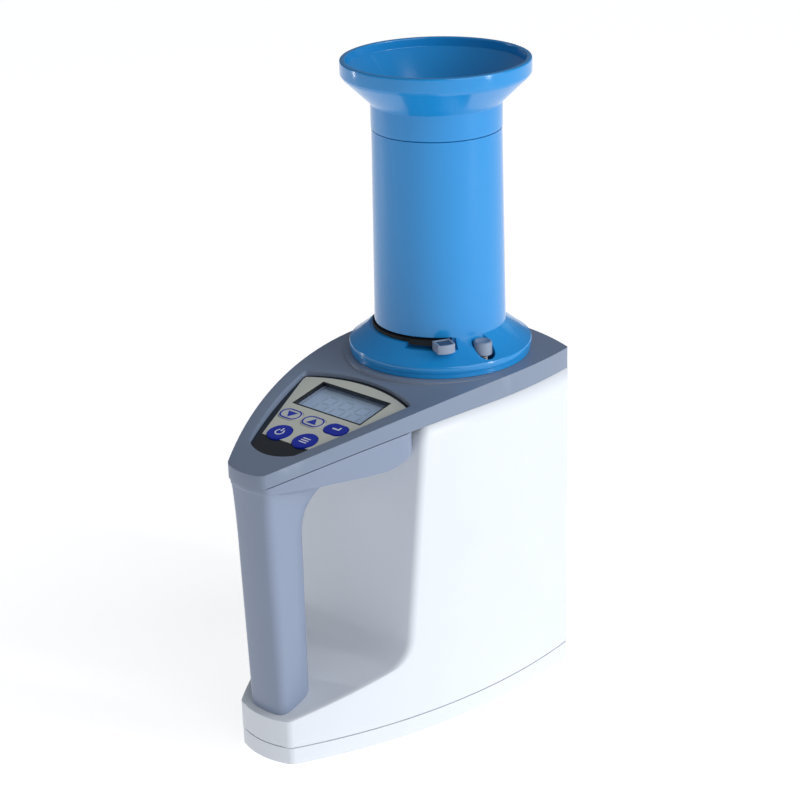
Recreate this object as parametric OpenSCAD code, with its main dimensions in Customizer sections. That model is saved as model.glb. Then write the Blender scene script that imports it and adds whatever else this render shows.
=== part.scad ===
// Grain moisture meter: a bench and field instrument with a carrying handle,
// a lift-off loading tube with a swinging shutter, and a capacitance cell inside.
// Millimetres, +Z up, standing on its feet at z = 0, handle and display towards -Y.

/* [Body] */
// Largest width of the case
body_w = 124; // [118:1:128]
// Distance from the middle of the footprint to the back of the case
body_back = 113; // [112:0.5:115]
// Distance from the middle of the footprint to the nose of the deck
body_nose = 113; // [112:0.5:115]
// Height of the flat rear part of the deck
deck_z = 209.4; // [209:0.1:210]
// Wall thickness of the moulded covers
wall = 2.5; // [2:0.1:3]

/* [Loading tube] */
// Distance of the tube axis behind the middle of the footprint
tube_y = 52.5; // [52:0.1:53]
// Outer radius of the tube at its foot
tube_r = 39.1; // [39:0.1:39.6]
// Inner radius of the tube
bore_r = 33.8; // [33:0.1:34]
// Outer radius of the flange that stands on the deck
flange_r = 54.4; // [54:0.1:56]
// Height of the upper end of the tube
tube_top_z = 345; // [330:1:360]

/* [Funnel] */
// Outer radius of the funnel's rim
rim_r = 55; // [52:0.5:56]
// Height of the funnel's rim above the joint with the tube
funnel_h = 40.5; // [39:0.5:42]

/* [Shutter] */
// Radius of the shutter disc
disc_r = 36.5; // [36.2:0.1:36.6]
// Distance of the shutter pivot from the tube axis
pivot_r = 44; // [43.5:0.1:44.5]
// Direction of the shutter pivot seen from above, in degrees from +X
pivot_a = 133; // [130:1:136]
// Thickness of the shutter disc
disc_t = 1.6; // [1.4:0.1:1.8]

/* [Display panel] */
// Tilt of the panel towards the operator, in degrees
panel_tilt = 11.3; // [11:0.1:11.6]
// Width of the display window
window_w = 52; // [50:0.5:54]
// Height of the display window
window_h = 24.5; // [23:0.5:26]
// Diameter of the two round keys
key_d = 15; // [14:0.5:15.5]

/* [Measuring cell] */
// Inner radius of the cell cup
cup_r = 38; // [37:0.5:38.5]
// Radius of the centre electrode
electrode_r = 12.5; // [10:0.5:14]

/* [Hidden] */

$fn = 96;
e = 0.01;
far = 400;

// Plan of the deck: two large side arcs, a back arc and a small nose arc.
side_r = 321;
half_w = body_w / 2;
side_c = [half_w - side_r, 57.5];
rear_r = 147;
rear_c = [0, body_back - rear_r];
nose_r = 46.9;
nose_c = [0, nose_r - body_nose];
nose_corner_r = 6.5;
rear_corner_r = 3.2;

// Plan of the base: slightly wider at the nose.
base_side_r = 338;
base_side_c = [half_w - base_side_r, 57.5];
base_nose = body_nose - 3.7;
base_nose_c = [0, nose_r - base_nose];

// Side view of the deck: flat at the back, falling in large arcs towards the nose.
deck_r = 477;
deck_flat_y = 42.5;
deck_c = [deck_flat_y, deck_z - deck_r - 0.02];
seam_r = 420;
seam_flat_y = 20;
seam_z = deck_z - 12.6;
seam_c = [seam_flat_y, seam_z - seam_r - 0.02];
opening_r = 42;
seat_r = 58;

// Side view of the opening behind the handle.
wall_foot = [-34.33, 50.55];
wall_lean = 5.06;
ramp_a = 16;
hollow_r = 19.5;
floor_seam_z = 12;
foot_h = 1.5;
cover_t = 3.5;
cover_z = foot_h + cover_t;

// Panel frame: its origin lies on the overlay's face.
panel_o = [0, -52.5, 196.2];
plate_t = 1.8;
overlay_t = 0.4;
panel_floor_t = 2.2;
lcd_y = 19.4;
lcd_floor = -6.8;
key_gap = 0.3;
key_travel = 0.5;
row_y = -4.1;
round_y = -21.4;
row_x = 18;
round_x = 10;
oval = [16, 10.6];
key_base = -4.4;

// Shutter and release.
slot_z = [226.1, 229.6];
notch_z = 223.7;
disc_z = 226.5;
ledge_r = 40.2;
grip_a = -27;
grip_root = [24.5, -29.3];
grip_w = 10.6;
grip_len = 15;
pivot = pivot_r * [cos(pivot_a), sin(pivot_a)];
pin_r = 1.5;
button_a = -15;
button_rad = 45;
button_r = 5.4;
button_travel = 2;
catch_r = 35.6;
catch_z = 224.4;
pocket_z = 213.5;
lip_z = 217.2;
cone_z = 228.6;
button_xy = button_rad * [cos(button_a), sin(button_a)];

// Batteries.
cell_r = 7.2;
cell_len = 50.5;
cell_pitch = 14.7;
box_c = 50;
door = [62, 68, 1.8];
door_z = foot_h + 0.2;

// ---- plan helpers -------------------------------------------------------

function unit(v) = v / norm(v);
// Meeting point of two circles, on the side that s chooses.
function meet(a, ra, b, rb, s) =
    let (d = norm(b - a), u = unit(b - a), t = (d * d + ra * ra - rb * rb) / (2 * d))
    a + t * u + s * sqrt(ra * ra - t * t) * [-u.y, u.x];

// Corner piece of the sheet that lies outside a fillet circle between two arcs.
module corner_waste(c, r, a, b, reach) {
    u = unit(c - a);
    v = unit(c - b);
    difference() {
        translate(c) polygon([[0, 0], reach * u, reach * (u + v), reach * v]);
        translate(c) circle(r + 0.02);
    }
}

// Closed plan made of four arcs with rounded corners, drawn d inside the edge.
module boat(sc, sr, nc, nr, nose_fillet, rear_fillet, d) {
    left = [-sc.x, sc.y];
    nf = max(nose_fillet - d, 0.6);
    rf = max(rear_fillet - d, 0.6);
    n1 = meet(sc, sr - d - nf, nc, nr - d - nf, -1);
    b1 = meet(sc, sr - d - rf, rear_c, rear_r - d - rf, 1);
    difference() {
        intersection() {
            translate(sc) circle(sr - d, $fn = 360);
            translate(left) circle(sr - d, $fn = 360);
            translate(rear_c) circle(rear_r - d, $fn = 240);
            union() {
                translate(nc) circle(nr - d);
                translate([-far / 2, nc.y]) square([far, far]);
            }
        }
        for (m = [0, 1]) {
            mirror([m, 0]) {
                corner_waste(n1, nf, sc, nc, 4 * nf);
                corner_waste(b1, rf, sc, rear_c, 4 * rf);
            }
        }
    }
}

module deck_plan(d = 0) {
    boat(side_c, side_r, nose_c, nose_r, nose_corner_r, rear_corner_r, d);
}

module base_plan(d = 0) {
    boat(base_side_c, base_side_r, base_nose_c, nose_r, nose_corner_r, rear_corner_r, d);
}

// Turns a drawing in the Y-Z plane into a block across the whole width.
module across(w = far) {
    rotate([90, 0, 90]) linear_extrude(w, center = true) children();
}

// Side view below the deck's upper face, d under it.
module below_deck(d = 0) {
    translate([deck_flat_y, -far]) square([far, far + deck_z - d]);
    translate(deck_c) circle(deck_r - d, $fn = 480);
}

// Side view below the seam between deck and housing.
module below_seam(d = 0) {
    translate([seam_flat_y, -far]) square([far, far + seam_z - d]);
    translate(seam_c) circle(seam_r - d, $fn = 480);
}

// Side view of the opening behind the handle, grown by d.
module hand_opening(d = 0) {
    up = [sin(wall_lean), cos(wall_lean)];
    down = [-cos(ramp_a), -sin(ramp_a)];
    in_wall = [cos(wall_lean), -sin(wall_lean)];
    in_ramp = [sin(ramp_a), -cos(ramp_a)];
    spread = acos(up * down) / 2;
    corner = wall_foot + (d / sin(spread)) * unit(-(up + down));
    c = wall_foot + (hollow_r / sin(spread)) * unit(up + down);
    difference() {
        polygon([corner, corner + far * up, corner + far * up + far * down, corner + far * down]);
        difference() {
            polygon([c, c + 2 * hollow_r * in_wall, corner + 30 * unit(corner - c), c + 2 * hollow_r * in_ramp]);
            translate(c) circle(hollow_r + d + 0.03);
        }
    }
}

module at_tube() {
    translate([0, tube_y, 0]) children();
}

module on_panel() {
    translate(panel_o) rotate([panel_tilt, 0, 0]) children();
}

module ring(ro, ri, z0, z1) {
    translate([0, 0, z0]) difference() {
        cylinder(h = z1 - z0, r = ro);
        translate([0, 0, -1]) cylinder(h = z1 - z0 + 2, r = ri);
    }
}

// Round-ended bar between two points, as a flat drawing.
module stadium(a, b, r) {
    u = unit(b - a);
    n = (r - 0.04) * [-u.y, u.x];
    translate(a) circle(r);
    translate(b) circle(r);
    polygon([a + n, b + n, b - n, a - n]);
}

// Wire swept along points that a function has worked out.
function ring_at(p, t, r, sides) =
    let (u = unit(t), a = unit(cross(u, [0.03, 0.02, 1])), b = cross(u, a))
    [for (k = [0 : sides - 1]) p + r * (cos(360 * k / sides) * a + sin(360 * k / sides) * b)];
module wire(path, r, sides = 8) {
    n = len(path);
    pts = [for (i = [0 : n - 1])
        each ring_at(path[i], path[min(i + 1, n - 1)] - path[max(i - 1, 0)], r, sides)];
    polyhedron(
        points = pts,
        faces = concat(
            [[for (k = [0 : sides - 1]) k]],
            [for (i = [0 : n - 2], k = [0 : sides - 1])
                let (k2 = (k + 1) % sides)
                [i * sides + k, (i + 1) * sides + k, (i + 1) * sides + k2, i * sides + k2]],
            [[for (k = [sides - 1 : -1 : 0]) (n - 1) * sides + k]]
        ),
        convexity = 6
    );
}
function helix(r0, r1, z0, z1, turns, steps = 14) =
    [for (i = [0 : turns * steps]) let (t = i / (turns * steps), a = 360 * i / steps, r = r0 + (r1 - r0) * t)
        [r * cos(a), r * sin(a), z0 + (z1 - z0) * t]];

// Pan-head screw pointing up from its head, which lies below z = 0.
module screw_up(r, l, head_r, head_h) {
    difference() {
        translate([0, 0, -head_h]) cylinder(h = head_h, r = head_r);
        for (a = [0, 90]) rotate(a) translate([0, 0, -head_h]) cube([1.4 * head_r, 0.7, 1.2], center = true);
    }
    cylinder(h = l, r = r);
}

// ---- case ---------------------------------------------------------------

// Screw columns on the inside of the side walls.
column_x = 54.3;
column_y = [20, 84];
column_r = 4.5;
column_top = 80;
deck_screw_at = [[46, 92], [40, -4]];
nose_screw_y = -88;

module main_housing() {
    color("whitesmoke") {
        difference() {
            union() {
                difference() {
                    housing_block(0);
                    housing_block(wall);
                }
                for (m = [0, 1], y = column_y) mirror([m, 0, 0])
                    translate([column_x, y, floor_seam_z + 0.3])
                        cylinder(h = column_top - floor_seam_z - 0.3, r = column_r);
                for (m = [0, 1], p = deck_screw_at) mirror([m, 0, 0]) intersection() {
                    translate([p.x - 7, p.y - 7, 183]) cube([40, 14, 4]);
                    linear_extrude(far) base_plan(wall - 0.5);
                }
                translate([0, nose_screw_y, floor_seam_z + 0.3]) cylinder(h = 22, r = 6);
            }
            for (m = [0, 1]) mirror([m, 0, 0]) {
                for (y = column_y) {
                    translate([column_x - 0.4, y, 0]) cylinder(h = 30, r = 1.2);
                    translate([column_x - 0.4, y, 66]) cylinder(h = 30, r = 1.0);
                }
                for (p = deck_screw_at) translate([p.x, p.y, 170]) cylinder(h = 30, r = 1.8);
            }
            translate([0, nose_screw_y, 0]) cylinder(h = 60, r = 2.3);
        }
    }
}

// Solid outside shape of the housing, d inside its skin, between its two open ends.
module housing_block(d) {
    bottom = d > 0 ? 0 : floor_seam_z + 0.3;
    difference() {
        intersection() {
            translate([0, 0, bottom]) linear_extrude(far) base_plan(d);
            across() below_seam(d > 0 ? -20 : 0.3);
        }
        across() hand_opening(d);
    }
}

module base_cover() {
    color("white") difference() {
        union() {
            translate([0, 0, foot_h]) linear_extrude(cover_t) base_plan(0);
            translate([0, 0, foot_h]) linear_extrude(floor_seam_z - foot_h) difference() {
                base_plan(0);
                base_plan(wall);
            }
            translate([0, 0, foot_h]) linear_extrude(floor_seam_z + 2 - foot_h) difference() {
                base_plan(wall + 0.2);
                base_plan(wall + 1.6);
                for (m = [0, 1], y = column_y) mirror([m, 0]) translate([column_x, y]) circle(column_r + 0.4);
            }
        }
        for (m = [0, 1]) mirror([m, 0, 0]) {
            for (p = foot_at) translate([p.x, p.y, 0]) cylinder(h = foot_h + 1.5, r = foot_r + 0.1);
            for (y = column_y) translate([column_x - 0.4, y, 0]) {
                cylinder(h = 20, r = 1.7);
                cylinder(h = foot_h + 1.9, r = 3.2);
            }
        }
        translate([0, nose_screw_y, 0]) {
            cylinder(h = 20, r = 2.3);
            cylinder(h = foot_h + 2.2, r = 4.3);
        }
        // battery door recess, its side grooves and the mouth of the battery case
        translate([-door.x / 2 - 0.3, box_c - door.y / 2 - 0.3, 0])
            cube([door.x + 0.6, door.y + 10.6, foot_h + 2.3]);
        translate([-door.x / 2 - 1.8, box_c - door.y / 2 - 0.3, foot_h + 0.8])
            cube([door.x + 3.6, door.y + 10.6, 1.5]);
        translate([-29.6, box_c - 30.1, 0]) cube([59.2, 60.2, 10]);
    }
}

foot_r = 6;
foot_at = [[46, 68], [13.5, -74]];

module rubber_feet() {
    top = foot_h + 1.5;
    color([0.16, 0.16, 0.17]) for (m = [0, 1], p = foot_at) mirror([m, 0, 0]) translate([p.x, p.y, 0])
        rotate_extrude() polygon([
            [0, 0], [foot_r - 0.7, 0], [foot_r - 0.2, 0.5], [foot_r, 1.2], [foot_r, top], [0, top]
        ]);
}

// Bar under the deck, seen from the side, d inside its skin.
bar_z = 171.6;
bar_round_y = -50;
bar_round_r = 42.7;
bar_end_y = -24;
module bar_side(d = 0) {
    difference() {
        union() {
            translate([-far, bar_z + d]) square([far + bar_round_y, far]);
            difference() {
                translate([bar_round_y, bar_z + bar_round_r]) circle(bar_round_r - d);
                translate([bar_round_y - far, 0]) square([far, far]);
            }
            translate([bar_round_y - e, bar_z + bar_round_r]) square([bar_round_r - d, far]);
        }
        translate([bar_end_y - d, 0]) square([far, far]);
    }
}

// Upright grip: flat front with rounded corners and a half-round back.
post_hw = 14.6;
post_front = -111;
post_lean = 2.26;
post_back_c = -89.6;
post_foot_z = 28.6;
web_r = 26;
module post_plan(d = 0) {
    fr = 6.5 - d;
    hull() {
        translate([0, post_back_c]) circle(post_hw - d, $fn = 64);
        for (m = [-1, 1]) translate([m * (post_hw - d - fr), post_front + 6.5]) circle(fr, $fn = 32);
        translate([0, nose_c.y + 1.8]) intersection() {
            circle(nose_r - d, $fn = 96);
            translate([-7, -nose_r - 2]) square([14, 6]);
        }
    }
}

module post_block(d = 0) {
    top = 190;
    difference() {
        translate([0, 0, d > 0 ? post_foot_z + 12 : post_foot_z])
            linear_extrude(top - post_foot_z) post_plan(d);
        // the front leans back towards the foot
        translate([0, post_front - 0.6 + d, 178]) rotate([-post_lean, 0, 0])
            translate([-50, -100, -200]) cube([100, 100, 200]);
        // and its foot stands on the ramp
        translate([0, wall_foot.x, wall_foot.y + 0.15]) rotate([ramp_a, 0, 0])
            translate([-50, -150, -60]) cube([100, 160, 60]);
    }
}

module handle_grip() {
    color([0.60, 0.65, 0.74]) difference() {
        union() {
            intersection() {
                linear_extrude(far) deck_plan(0.3);
                across() intersection() {
                    bar_side(0);
                    below_seam(0.3);
                }
            }
            intersection() {
                union() {
                    post_block(0);
                    web_solid();
                }
                across() below_seam(0.3);
            }
        }
        // hollow for the display electronics
        intersection() {
            linear_extrude(far) deck_plan(0.3 + wall);
            translate([-far / 2, -99, 0]) cube([far, far, far]);
            across() intersection() {
                bar_side(wall);
                below_seam(-20);
            }
        }
        post_block(wall + 0.5);
        translate([0, nose_screw_y, 0]) cylinder(h = 50, r = 1.6);
    }
}

// Web that blends the back of the grip into the bar.
module web_solid() {
    c = [post_back_c + post_hw + web_r - 3, bar_z - web_r];
    difference() {
        translate([0, 0, c.y]) linear_extrude(web_r + 4) intersection() {
            deck_plan(1.5);
            polygon([[-13, post_back_c], [13, post_back_c], [22, c.x], [-22, c.x]]);
        }
        translate([0, c.x, c.y]) rotate([0, 90, 0]) cylinder(h = far, r = web_r, center = true);
    }
}

// ---- deck and display ---------------------------------------------------

// Shield-shaped outline of the panel, drawn d inside the recess.
module shield(d = 0) {
    rr = 95.3;
    rc = [0, 43.5 - rr];
    sr = 312;
    sc = meet([43, 34], sr, [18, -37.7], sr, -1);
    fr = 29.6;
    fc = [0, fr - 43.8];
    n = max(3.4 - d, 0.6);
    k = max(2.6 - d, 0.6);
    n1 = meet(sc, sr - d - n, fc, fr - d - n, -1);
    b1 = meet(sc, sr - d - k, rc, rr - d - k, 1);
    difference() {
        intersection() {
            translate(sc) circle(sr - d, $fn = 360);
            translate([-sc.x, sc.y]) circle(sr - d, $fn = 360);
            translate(rc) circle(rr - d, $fn = 240);
            union() {
                translate(fc) circle(fr - d);
                translate([-60, fc.y]) square([120, 120]);
            }
        }
        for (m = [0, 1]) {
            mirror([m, 0]) {
                corner_waste(n1, n, sc, fc, 4 * n);
                corner_waste(b1, k, sc, rc, 4 * k);
            }
        }
    }
}

// Outline of the printed overlay inside the shield.
module overlay_plan(d = 0) {
    rr = 98;
    rc = [0, 40.8 - rr];
    intersection() {
        translate(rc) circle(rr - d);
        polygon([
            [-41 + d, 60], [41 - d, 60], [40.4 - d, 29],
            [18.6 - d, -27 + d], [-18.6 + d, -27 + d], [-40.4 + d, 29]
        ]);
    }
}

module key_plan(kind, grow = 0) {
    if (kind == "round") circle(key_d / 2 + grow);
    half = (oval.x - oval.y) / 2;
    if (kind == "oval") stadium([-half, 0], [half, 0], oval.y / 2 + grow);
}

KEYS = [["oval", -row_x, row_y], ["oval", 0, row_y], ["oval", row_x, row_y],
    ["round", -round_x, round_y], ["round", round_x, round_y]];

module key_holes(grow) {
    for (k = KEYS) translate([k[1], k[2]]) key_plan(k[0], grow);
}

module window_plan(grow = 0) {
    translate([0, lcd_y]) square([window_w + 2 * grow, window_h + 2 * grow], center = true);
}

module top_deck() {
    color([0.52, 0.57, 0.64]) difference() {
        union() {
            difference() {
                intersection() {
                    linear_extrude(far) deck_plan(0);
                    across() difference() {
                        below_deck(0);
                        below_seam(0);
                    }
                }
                intersection() {
                    translate([0, 0, 100]) linear_extrude(far) deck_plan(wall);
                    across() below_deck(wall);
                }
            }
            // seat for the loading tube
            at_tube() translate([0, 0, deck_z - 5.4]) cylinder(h = 5.4, r = seat_r - 1);
            at_tube() translate([0, 0, deck_z - 3]) cylinder(h = 3, r = seat_r);
            // tray that carries the panel
            intersection() {
                on_panel() translate([0, 0, -panel_floor_t - plate_t - overlay_t]) linear_extrude(14) shield(-2.2);
                across() below_deck(0);
                linear_extrude(far) deck_plan(wall / 2);
            }
            // posts for the display board
            on_panel() for (p = panel_screw_at) translate([p.x, p.y, board_z + 1.65]) cylinder(h = 3, r = 2.4);
            // screw bosses
            for (m = [0, 1], p = deck_screw_at) mirror([m, 0, 0]) intersection() {
                translate([p.x, p.y, 187.3]) cylinder(h = 30, r = 3.6);
                across() below_deck(1);
            }
        }
        at_tube() translate([0, 0, deck_z - 20]) cylinder(h = 30, r = opening_r);
        on_panel() {
            translate([0, 0, -plate_t - overlay_t]) linear_extrude(30) shield(0);
            translate([0, 0, -20]) linear_extrude(30) window_plan(0.6);
            translate([0, 0, -20]) linear_extrude(30) key_holes(0.6);
            for (p = panel_screw_at) translate([p.x, p.y, -12]) cylinder(h = 8.8, r = 1.05);
        }
        for (m = [0, 1], p = deck_screw_at) mirror([m, 0, 0]) translate([p.x, p.y, 180]) cylinder(h = 20, r = 1.2);
    }
}

module panel_plate() {
    color([0.13, 0.15, 0.18]) on_panel() translate([0, 0, -plate_t - overlay_t]) difference() {
        linear_extrude(plate_t) shield(0.3);
        translate([0, 0, -1]) linear_extrude(plate_t + 2) window_plan(0);
        translate([0, 0, -1]) linear_extrude(plate_t + 2) key_holes(key_gap);
    }
}

module keypad_overlay() {
    color([0.77, 0.77, 0.72]) on_panel() translate([0, 0, -overlay_t]) difference() {
        linear_extrude(overlay_t) overlay_plan(0);
        translate([0, 0, -1]) linear_extrude(overlay_t + 2) window_plan(1.2);
        translate([0, 0, -1]) linear_extrude(overlay_t + 2) key_holes(key_gap);
    }
}

module key_cap(i, top) {
    k = KEYS[i];
    on_panel() translate([k[1], k[2], key_base]) {
        linear_extrude(-key_base + top - 0.2) key_plan(k[0], 0);
        linear_extrude(-key_base + top) key_plan(k[0], -0.5);
    }
}

module key_down() { color([0.80, 0.82, 0.80]) key_cap(0, 0.45); }
module key_up() { color([0.80, 0.82, 0.80]) key_cap(1, 0.45); }
module key_enter() { color([0.05, 0.14, 0.66]) key_cap(2, 0.45); }
module key_power() { color([0.05, 0.14, 0.66]) key_cap(3, 0.45); }
module key_mode() { color([0.05, 0.14, 0.66]) key_cap(4, 0.45); }

module lcd_lens() {
    color([0.75, 0.85, 0.95, 0.4]) on_panel() translate([0, lcd_y, lcd_floor + 2.6]) linear_extrude(1)
        square([window_w + 0.8, window_h + 0.8], center = true);
}

board_z = -8.4;
module lcd_module() {
    color([0.56, 0.66, 0.76]) on_panel() translate([0, lcd_y, board_z + 1.7])
        linear_extrude(lcd_floor - board_z + 0.7)
            square([window_w + 0.8, window_h + 0.8], center = true);
}

module panel_board() {
    color([0.12, 0.38, 0.22]) on_panel() translate([0, 0, board_z]) difference() {
        linear_extrude(1.6) intersection() {
            shield(7);
            translate([-60, -26]) square([120, 50.4]);
        }
        for (p = panel_screw_at) translate([p.x, p.y, -1]) cylinder(h = 4, r = 1.3);
    }
}

panel_screw_at = [[-29.4, 20], [29.4, 20], [0, -14.5]];
module panel_screws() {
    color("silver") on_panel() for (p = panel_screw_at) translate([p.x, p.y, board_z - 0.05]) {
        screw_up(1.0, 5, 2.2, 1.3);
    }
}

module key_switches() {
    color([0.2, 0.2, 0.22]) on_panel() for (k = KEYS) translate([k[1], k[2], board_z + 1.6]) {
        linear_extrude(1.2) square([4.4, 4.4], center = true);
        cylinder(h = -board_z - 1.6 + key_base - key_travel - 0.15, r = 1.2);
    }
}

// ---- electronics and cell -----------------------------------------------

module main_board() {
    color([0.12, 0.38, 0.22]) translate([0, -7, 0]) difference() {
        translate([-38, 0, 86]) cube([76, 1.6, 86]);
        for (x = [-34, 34], z = [90, 168]) translate([x, 3, z]) rotate([90, 0, 0]) cylinder(h = 6, r = 1.5);
    }
}

module board_components() {
    color([0.1, 0.1, 0.11]) translate([0, -7, 0]) {
        translate([-14, -2, 120]) cube([14, 2, 14]);
        translate([10, -2.4, 100]) cube([10, 2.4, 18]);
        translate([-30, -4, 96]) cube([8, 4, 10]);
        translate([6, -6, 152]) rotate([0, 90, 0]) cylinder(h = 12, r = 3);
        translate([-24, -7, 150]) cube([16, 7, 8]);
    }
}

cup_z = [92, 203.4];
module cell_cup() {
    color([0.80, 0.81, 0.83]) at_tube() rotate_extrude() polygon([
        [cup_r, cup_z[0]], [cup_r + 2, cup_z[0]], [cup_r + 2, cup_z[1] - 2], [cup_r + 8, cup_z[1] - 2],
        [cup_r + 8, cup_z[1]], [cup_r, cup_z[1]]
    ]);
}

module cell_electrode() {
    color([0.74, 0.75, 0.77]) at_tube() {
        translate([0, 0, 95]) cylinder(h = 84, r = electrode_r);
        translate([0, 0, 179]) cylinder(h = 12, r1 = electrode_r, r2 = 1.5);
        translate([0, 0, 80]) cylinder(h = 15, r = 3);
    }
}

module cell_base() {
    color([0.90, 0.89, 0.84]) at_tube() difference() {
        union() {
            translate([0, 0, 84]) cylinder(h = 8, r = 44);
            translate([0, 0, 92]) cylinder(h = 3, r = cup_r - 0.05);
        }
        translate([0, 0, 70]) cylinder(h = 30, r = 3);
        translate([25, 0, 70]) cylinder(h = 30, r = 2.05);
    }
}

module temperature_probe() {
    color("silver") at_tube() translate([25, 0, 86]) {
        cylinder(h = 20, r = 2);
        translate([0, 0, 20]) sphere(2);
    }
}

module cell_bracket() {
    color([0.55, 0.57, 0.60]) difference() {
        union() {
            translate([-50, tube_y - 40, column_top]) cube([100, 80, 4]);
            for (m = [0, 1], y = column_y) mirror([m, 0, 0]) hull() {
                translate([column_x - 0.4, y, column_top]) cylinder(h = 4, r = 3, $fn = 32);
                translate([44, y, column_top]) cylinder(h = 4, r = 5, $fn = 32);
            }
        }
        at_tube() translate([0, 0, 60]) cylinder(h = 40, r = 30);
        for (m = [0, 1], y = column_y) mirror([m, 0, 0])
            translate([column_x - 0.4, y, 60]) cylinder(h = 40, r = 1.5);
    }
}

module bracket_screws() {
    color("silver") for (m = [0, 1], y = column_y) mirror([m, 0, 0])
        translate([column_x - 0.4, y, column_top + 4]) rotate([180, 0, 0]) screw_up(1.0, 12, 2.4, 1.6);
}

module cell_board() {
    color([0.12, 0.38, 0.22]) at_tube() difference() {
        translate([-27, -24, 74]) cube([54, 48, 1.6]);
        translate([0, 0, 70]) cylinder(h = 10, r = 3.4);
    }
}

// ---- batteries ----------------------------------------------------------

module battery_case() {
    color([0.25, 0.26, 0.28]) difference() {
        translate([-31.5, box_c - 32, cover_z]) cube([63, 64, 16]);
        translate([-29.5, box_c - 30, cover_z - 1]) cube([59, 60, 15.4]);
    }
}

module battery_cells() {
    color([0.85, 0.62, 0.2]) for (i = [-1.5 : 1 : 1.5]) translate([i * cell_pitch, box_c, 11.5]) {
        flip = (i == -1.5 || i == 0.5) ? 1 : -1;
        rotate([-90 * flip, 0, 0]) translate([0, 0, -cell_len / 2]) {
            cylinder(h = cell_len - 1.2, r = cell_r);
            cylinder(h = cell_len, r = 2.7);
        }
    }
}

module battery_contacts() {
    color("silver") for (i = [-1.5 : 1 : 1.5], s = [-1, 1]) translate([i * cell_pitch, box_c + s * 29.7, 11.5])
        cube([11, 0.5, 11], center = true);
    color("silver") for (i = [-1.5 : 1 : 1.5]) {
        s = (i == -1.5 || i == 0.5) ? -1 : 1;
        translate([i * cell_pitch, box_c + s * 29.44, 11.5]) rotate([s * 90, 0, 0])
            wire(helix(4.4, 2.6, 0.45, 3.6, 3, 12), 0.4, 6);
    }
}

module battery_door() {
    color("white") translate([0, box_c, door_z]) difference() {
        union() {
            translate([-door.x / 2, -door.y / 2, 0]) cube(door);
            translate([-door.x / 2 - 1.4, -door.y / 2, 0.9]) cube([door.x + 2.8, door.y, 0.9]);
        }
        for (i = [0 : 4]) translate([0, door.y / 2 - 6 - 2.2 * i, 0]) cube([18, 0.9, 0.9], center = true);
    }
}

// ---- screws -------------------------------------------------------------

module deck_screws() {
    color("silver") for (m = [0, 1], p = deck_screw_at) mirror([m, 0, 0])
        translate([p.x, p.y, 183]) screw_up(1.2, 13, 2.8, 1.8);
}

module base_screws() {
    color("silver") for (m = [0, 1], y = column_y) mirror([m, 0, 0])
        translate([column_x - 0.4, y, foot_h + 1.9]) screw_up(1.2, 20, 2.8, 1.6);
}

module handle_screw() {
    color("silver") translate([0, nose_screw_y, foot_h + 2.2]) screw_up(1.6, 40, 3.8, 2.1);
}

// ---- loading tube -------------------------------------------------------

// Part of a ring between two angles, clockwise from a0 down to a1.
module sector(a0, a1, r) {
    n = 12;
    polygon(concat([[0, 0]], [for (i = [0 : n]) let (a = a0 + (a1 - a0) * i / n) 1.2 * r * [cos(a), sin(a)]]));
}

socket_r = tube_r - 2.6;
socket_d = 8;
spigot_r = opening_r - 0.4;
notch_a = [-35, -76];
slot_end = pivot_a - 360 - 16;

module drop_tube() {
    gap = 0.3;
    foot = deck_z + gap;
    color([0.20, 0.56, 0.84]) at_tube() difference() {
        union() {
            rotate_extrude() polygon([
                [bore_r, deck_z - 4.6], [spigot_r, deck_z - 4.6], [spigot_r, foot],
                [43.6, foot], [43.6, lip_z + 3], [51.8, lip_z - 2.6], [51.8, foot],
                [flange_r - 0.8, foot], [flange_r - 0.8, lip_z - 4.6], [flange_r, lip_z - 4],
                [flange_r, lip_z - 1], [flange_r - 0.3, lip_z - 0.3],
                [flange_r - 1, lip_z], [tube_r, cone_z], [tube_r - 1.3, tube_top_z], [socket_r - 0.2, tube_top_z],
                [socket_r - 0.2, tube_top_z - socket_d], [bore_r, tube_top_z - socket_d - 2]
            ]);
            // wall and floor of the button pocket, under the cone's skin
            intersection() {
                translate([0, 0, foot + 0.5]) linear_extrude(30) pocket_plan(1.8);
                rotate_extrude() polygon([
                    [36.5, foot], [flange_r - 1.5, foot], [flange_r - 1.5, lip_z - 1.2],
                    [tube_r, cone_z - 1.2], [36.5, cone_z - 1.2]
                ]);
            }
            // boss of the shutter pivot
            translate([pivot.x, pivot.y, lip_z - 4]) cylinder(h = slot_z[0] - 0.1 - lip_z + 4, r = 4.2);
        }
        // slot for the shutter
        translate([0, 0, slot_z[0]]) {
            cylinder(h = slot_z[1] - slot_z[0], r = disc_r + 0.4);
            linear_extrude(slot_z[1] - slot_z[0]) sector(-38, slot_end, 70);
        }
        // deeper notch that lets the shutter's grip pass
        translate([0, 0, notch_z]) linear_extrude(slot_z[1] - notch_z - 0.4) difference() {
            sector(notch_a[0], notch_a[1], 70);
            circle(37.6);
        }
        // pocket, guide hole and window of the release button
        translate([0, 0, pocket_z + 9]) linear_extrude(30) difference() {
            pocket_plan(0);
            circle(tube_r + 0.2);
        }
        translate([0, 0, pocket_z]) linear_extrude(11) pocket_plan(0);
        translate([button_xy.x, button_xy.y, 200]) cylinder(h = 20, r = 1.7);
        rotate(button_a) translate([catch_r - 0.4, -1.9, catch_z - button_travel - 0.3])
            cube([6, 3.8, slot_z[0] + 0.4 - catch_z + button_travel]);
        translate([pivot.x, pivot.y, lip_z]) cylinder(h = 40, r = pin_r);
    }
}

module pocket_plan(grow) {
    r = 6.2 + grow;
    stadium((button_rad - 1) * unit(button_xy), (button_rad + 1.6) * unit(button_xy), r);
}

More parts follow.
